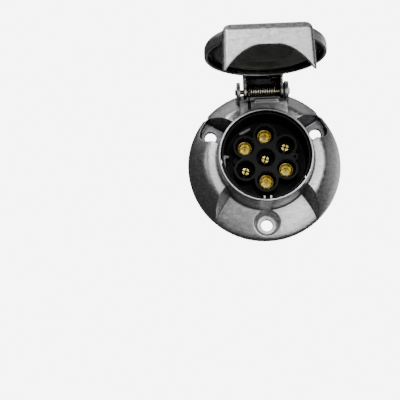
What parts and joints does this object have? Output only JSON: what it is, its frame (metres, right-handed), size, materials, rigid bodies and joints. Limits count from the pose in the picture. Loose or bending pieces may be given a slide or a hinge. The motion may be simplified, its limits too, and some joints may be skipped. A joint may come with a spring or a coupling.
{
  "type": "trailer wiring socket",
  "caption": "Round flanged socket for trailer wiring with brass contacts in a black insert and a sprung hinged lid, held open.",
  "frame": {"origin": "on the socket's axis in the plane of the flange's back face", "axes": "+Y along the socket's axis into the bracket that carries it, so the mouth faces -Y; +Z towards the hinge; +X to the right, seen from the front"},
  "size_m": [0.081, 0.0911, 0.0885],
  "materials": {
    "cast_aluminium": "bright die cast, lightly tumbled",
    "lid_aluminium": "bright die cast, lightly tumbled",
    "black_plastic": "moulded, satin",
    "retainer_plastic": "moulded, matte",
    "brass": "turned, bright",
    "zinc_steel": "zinc plated",
    "yellow_zinc": "yellow passivated zinc",
    "spring_steel": "drawn wire",
    "seal_rubber": "moulded, matte"
  },
  "bodies": {
    "socket": {"housing": "cast_aluminium", "contact_carrier": "black_plastic", "contact_retainer": "retainer_plastic", "sleeve_contact_top": "brass", "sleeve_contact_upper_left": "brass", "sleeve_contact_lower_right": "brass", "sleeve_contact_bottom": "brass", "pin_contact_upper_right": "brass", "pin_contact_lower_left": "brass", "pin_contact_centre": "brass", "terminal_screw_1": "zinc_steel", "terminal_screw_2": "zinc_steel", "terminal_screw_3": "zinc_steel", "terminal_screw_4": "zinc_steel", "terminal_screw_5": "zinc_steel", "terminal_screw_6": "zinc_steel", "terminal_screw_7": "zinc_steel", "carrier_screw_1": "zinc_steel", "carrier_screw_2": "zinc_steel", "carrier_screw_3": "zinc_steel", "retainer_screw_1": "zinc_steel", "retainer_screw_2": "zinc_steel", "hinge_pin": "yellow_zinc", "lid_spring": "spring_steel"},
    "lid_group": {"lid": "lid_aluminium", "lid_seal": "seal_rubber"}
  },
  "joints": [
    {"name": "lid_swing", "type": "hinge", "parent": "socket", "child": "lid_group", "pos_m": [0, -0.0195, 0.0354], "axis": [1, 0, 0], "range_deg": [-20, 89], "stiffness_Nm_per_rad": 0.05, "springref_deg": 94.54, "deforming": ["lid_spring"]}
  ]
}
